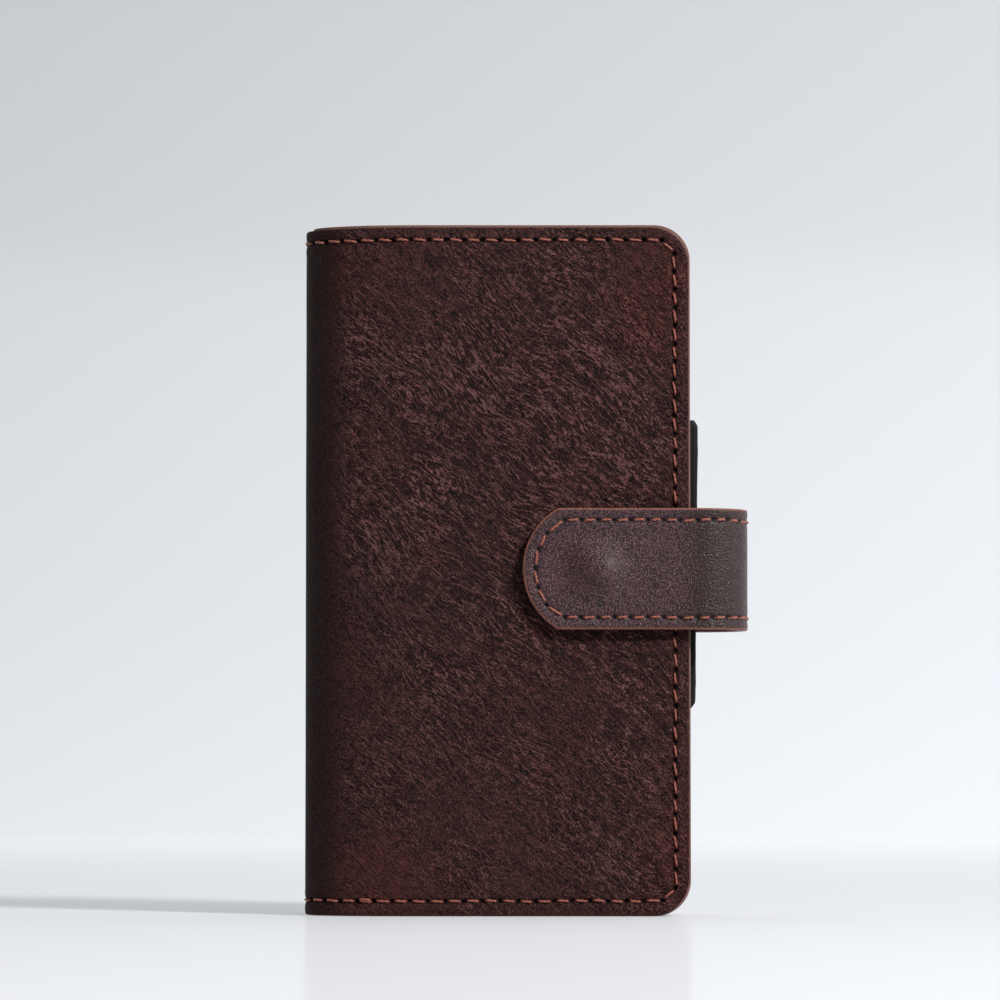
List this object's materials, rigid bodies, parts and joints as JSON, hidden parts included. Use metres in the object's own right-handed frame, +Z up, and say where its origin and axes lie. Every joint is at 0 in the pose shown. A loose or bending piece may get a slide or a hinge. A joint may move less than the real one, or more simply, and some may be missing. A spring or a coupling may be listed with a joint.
{
  "type": "phone wallet case",
  "caption": "Upright bifold leather phone wallet with a soft rounded spine, a moulded phone holder, card pockets and a magnetic wrap-round strap.",
  "frame": {"origin": "bottom centre of the closed case's bounding box, strap included", "axes": "+Z up along the case's height, +X from the spine towards the fore-edge and strap, -Y out of the front cover"},
  "size_m": [0.099, 0.026, 0.154],
  "materials": {
    "cover_leather": "dark red-brown pull-up leather, pebbled, semi-matt",
    "strap_leather": "dark red-brown leather, fine grain, satin",
    "pocket_leather": "dark red-brown leather, fine grain",
    "lining_leather": "tan-brown suede lining, matt",
    "strap_lining": "dark suede, matt",
    "thread": "waxed rust-brown thread",
    "board": "grey-brown bag board",
    "magnet": "nickel-plated",
    "holder_rubber": "soft black, matt",
    "adhesive": "foam tape, matt"
  },
  "bodies": {
    "back_cover": {"back_cover_leather": "cover_leather", "back_cover_board": "board", "back_cover_lining": "lining_leather", "back_seam_thread": "thread", "phone_holder": "holder_rubber", "holder_adhesive_pad": "adhesive", "strap_root_leather": "strap_leather", "strap_root_lining": "strap_lining"},
    "spine": {"spine_leather": "cover_leather", "spine_lining": "lining_leather", "spine_thread_top": "thread", "spine_thread_bottom": "thread"},
    "front_cover": {"front_cover_leather": "cover_leather", "front_cover_board": "board", "front_cover_lining": "lining_leather", "cash_pocket_panel": "lining_leather", "card_pocket_rear": "pocket_leather", "card_pocket_middle": "pocket_leather", "card_pocket_front": "pocket_leather", "cover_magnet": "magnet", "front_seam_thread": "thread"},
    "strap_side": {"strap_side_leather": "strap_leather", "strap_side_lining": "strap_lining", "strap_side_thread_top": "thread", "strap_side_thread_bottom": "thread"},
    "strap_tab": {"strap_tab_leather": "strap_leather", "strap_tab_lining": "strap_lining", "strap_tab_thread": "thread", "strap_magnet": "magnet"}
  },
  "joints": [
    {"name": "spine_fold", "type": "hinge", "parent": "back_cover", "child": "spine", "pos_m": [-0.04666, 0.00863, 0.077], "axis": [0, 0, -1], "range_deg": [0, 90], "deforming": ["strap_tab_leather", "strap_tab_lining", "strap_tab_thread", "strap_magnet"]},
    {"name": "cover_fold", "type": "hinge", "parent": "spine", "child": "front_cover", "pos_m": [-0.04534, -0.00424, 0.077], "axis": [0, 0, -1], "range_deg": [0, 90]},
    {"name": "strap_swing", "type": "hinge", "parent": "back_cover", "child": "strap_side", "pos_m": [0.04628, 0.00788, 0.077], "axis": [0, 0, 1], "range_deg": [0, 90]},
    {"name": "strap_lift", "type": "hinge", "parent": "strap_side", "child": "strap_tab", "pos_m": [0.04628, -0.00868, 0.077], "axis": [0, 0, 1], "range_deg": [0, 90]}
  ]
}
